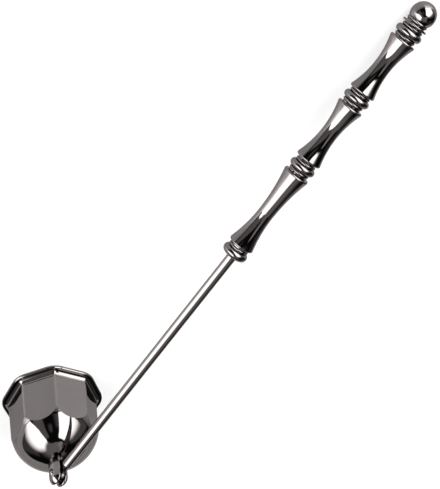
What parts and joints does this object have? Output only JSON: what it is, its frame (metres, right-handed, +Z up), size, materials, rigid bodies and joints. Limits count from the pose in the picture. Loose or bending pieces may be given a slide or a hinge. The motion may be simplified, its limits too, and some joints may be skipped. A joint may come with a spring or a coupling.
{
  "type": "candle snuffer",
  "caption": "Candle snuffer: an eight-sided domed bell hinged in a clevis on a thin round stem, with a turned handle of waisted barrels and beads that ends in a ball.",
  "frame": {"origin": "centre of the bell's mouth, on the surface that the rim stands on", "axes": "+Z up along the bell's axis, +X from the hinge towards the handle, +Y along the hinge pin"},
  "size_m": [0.2265, 0.0382, 0.0413],
  "materials": {
    "black_nickel": "polished black nickel plate",
    "zinc_steel": "zinc-plated steel"
  },
  "bodies": {
    "handle": {"stem": "black_nickel", "bead_lower": "black_nickel", "barrel_lower": "black_nickel", "bead_middle": "black_nickel", "barrel_middle": "black_nickel", "bead_upper": "black_nickel", "barrel_upper": "black_nickel", "bead_end": "black_nickel", "finial_ring": "black_nickel", "ball_finial": "black_nickel"},
    "bell": {"bell": "black_nickel", "clevis_post": "black_nickel", "apex_washer": "zinc_steel", "apex_nut": "zinc_steel", "hinge_pin": "black_nickel"}
  },
  "joints": [
    {"name": "bell_hinge", "type": "hinge", "parent": "handle", "child": "bell", "pos_m": [0, 0, 0.03701], "axis": [0, 1, 0], "range_deg": [-22, 220]}
  ]
}
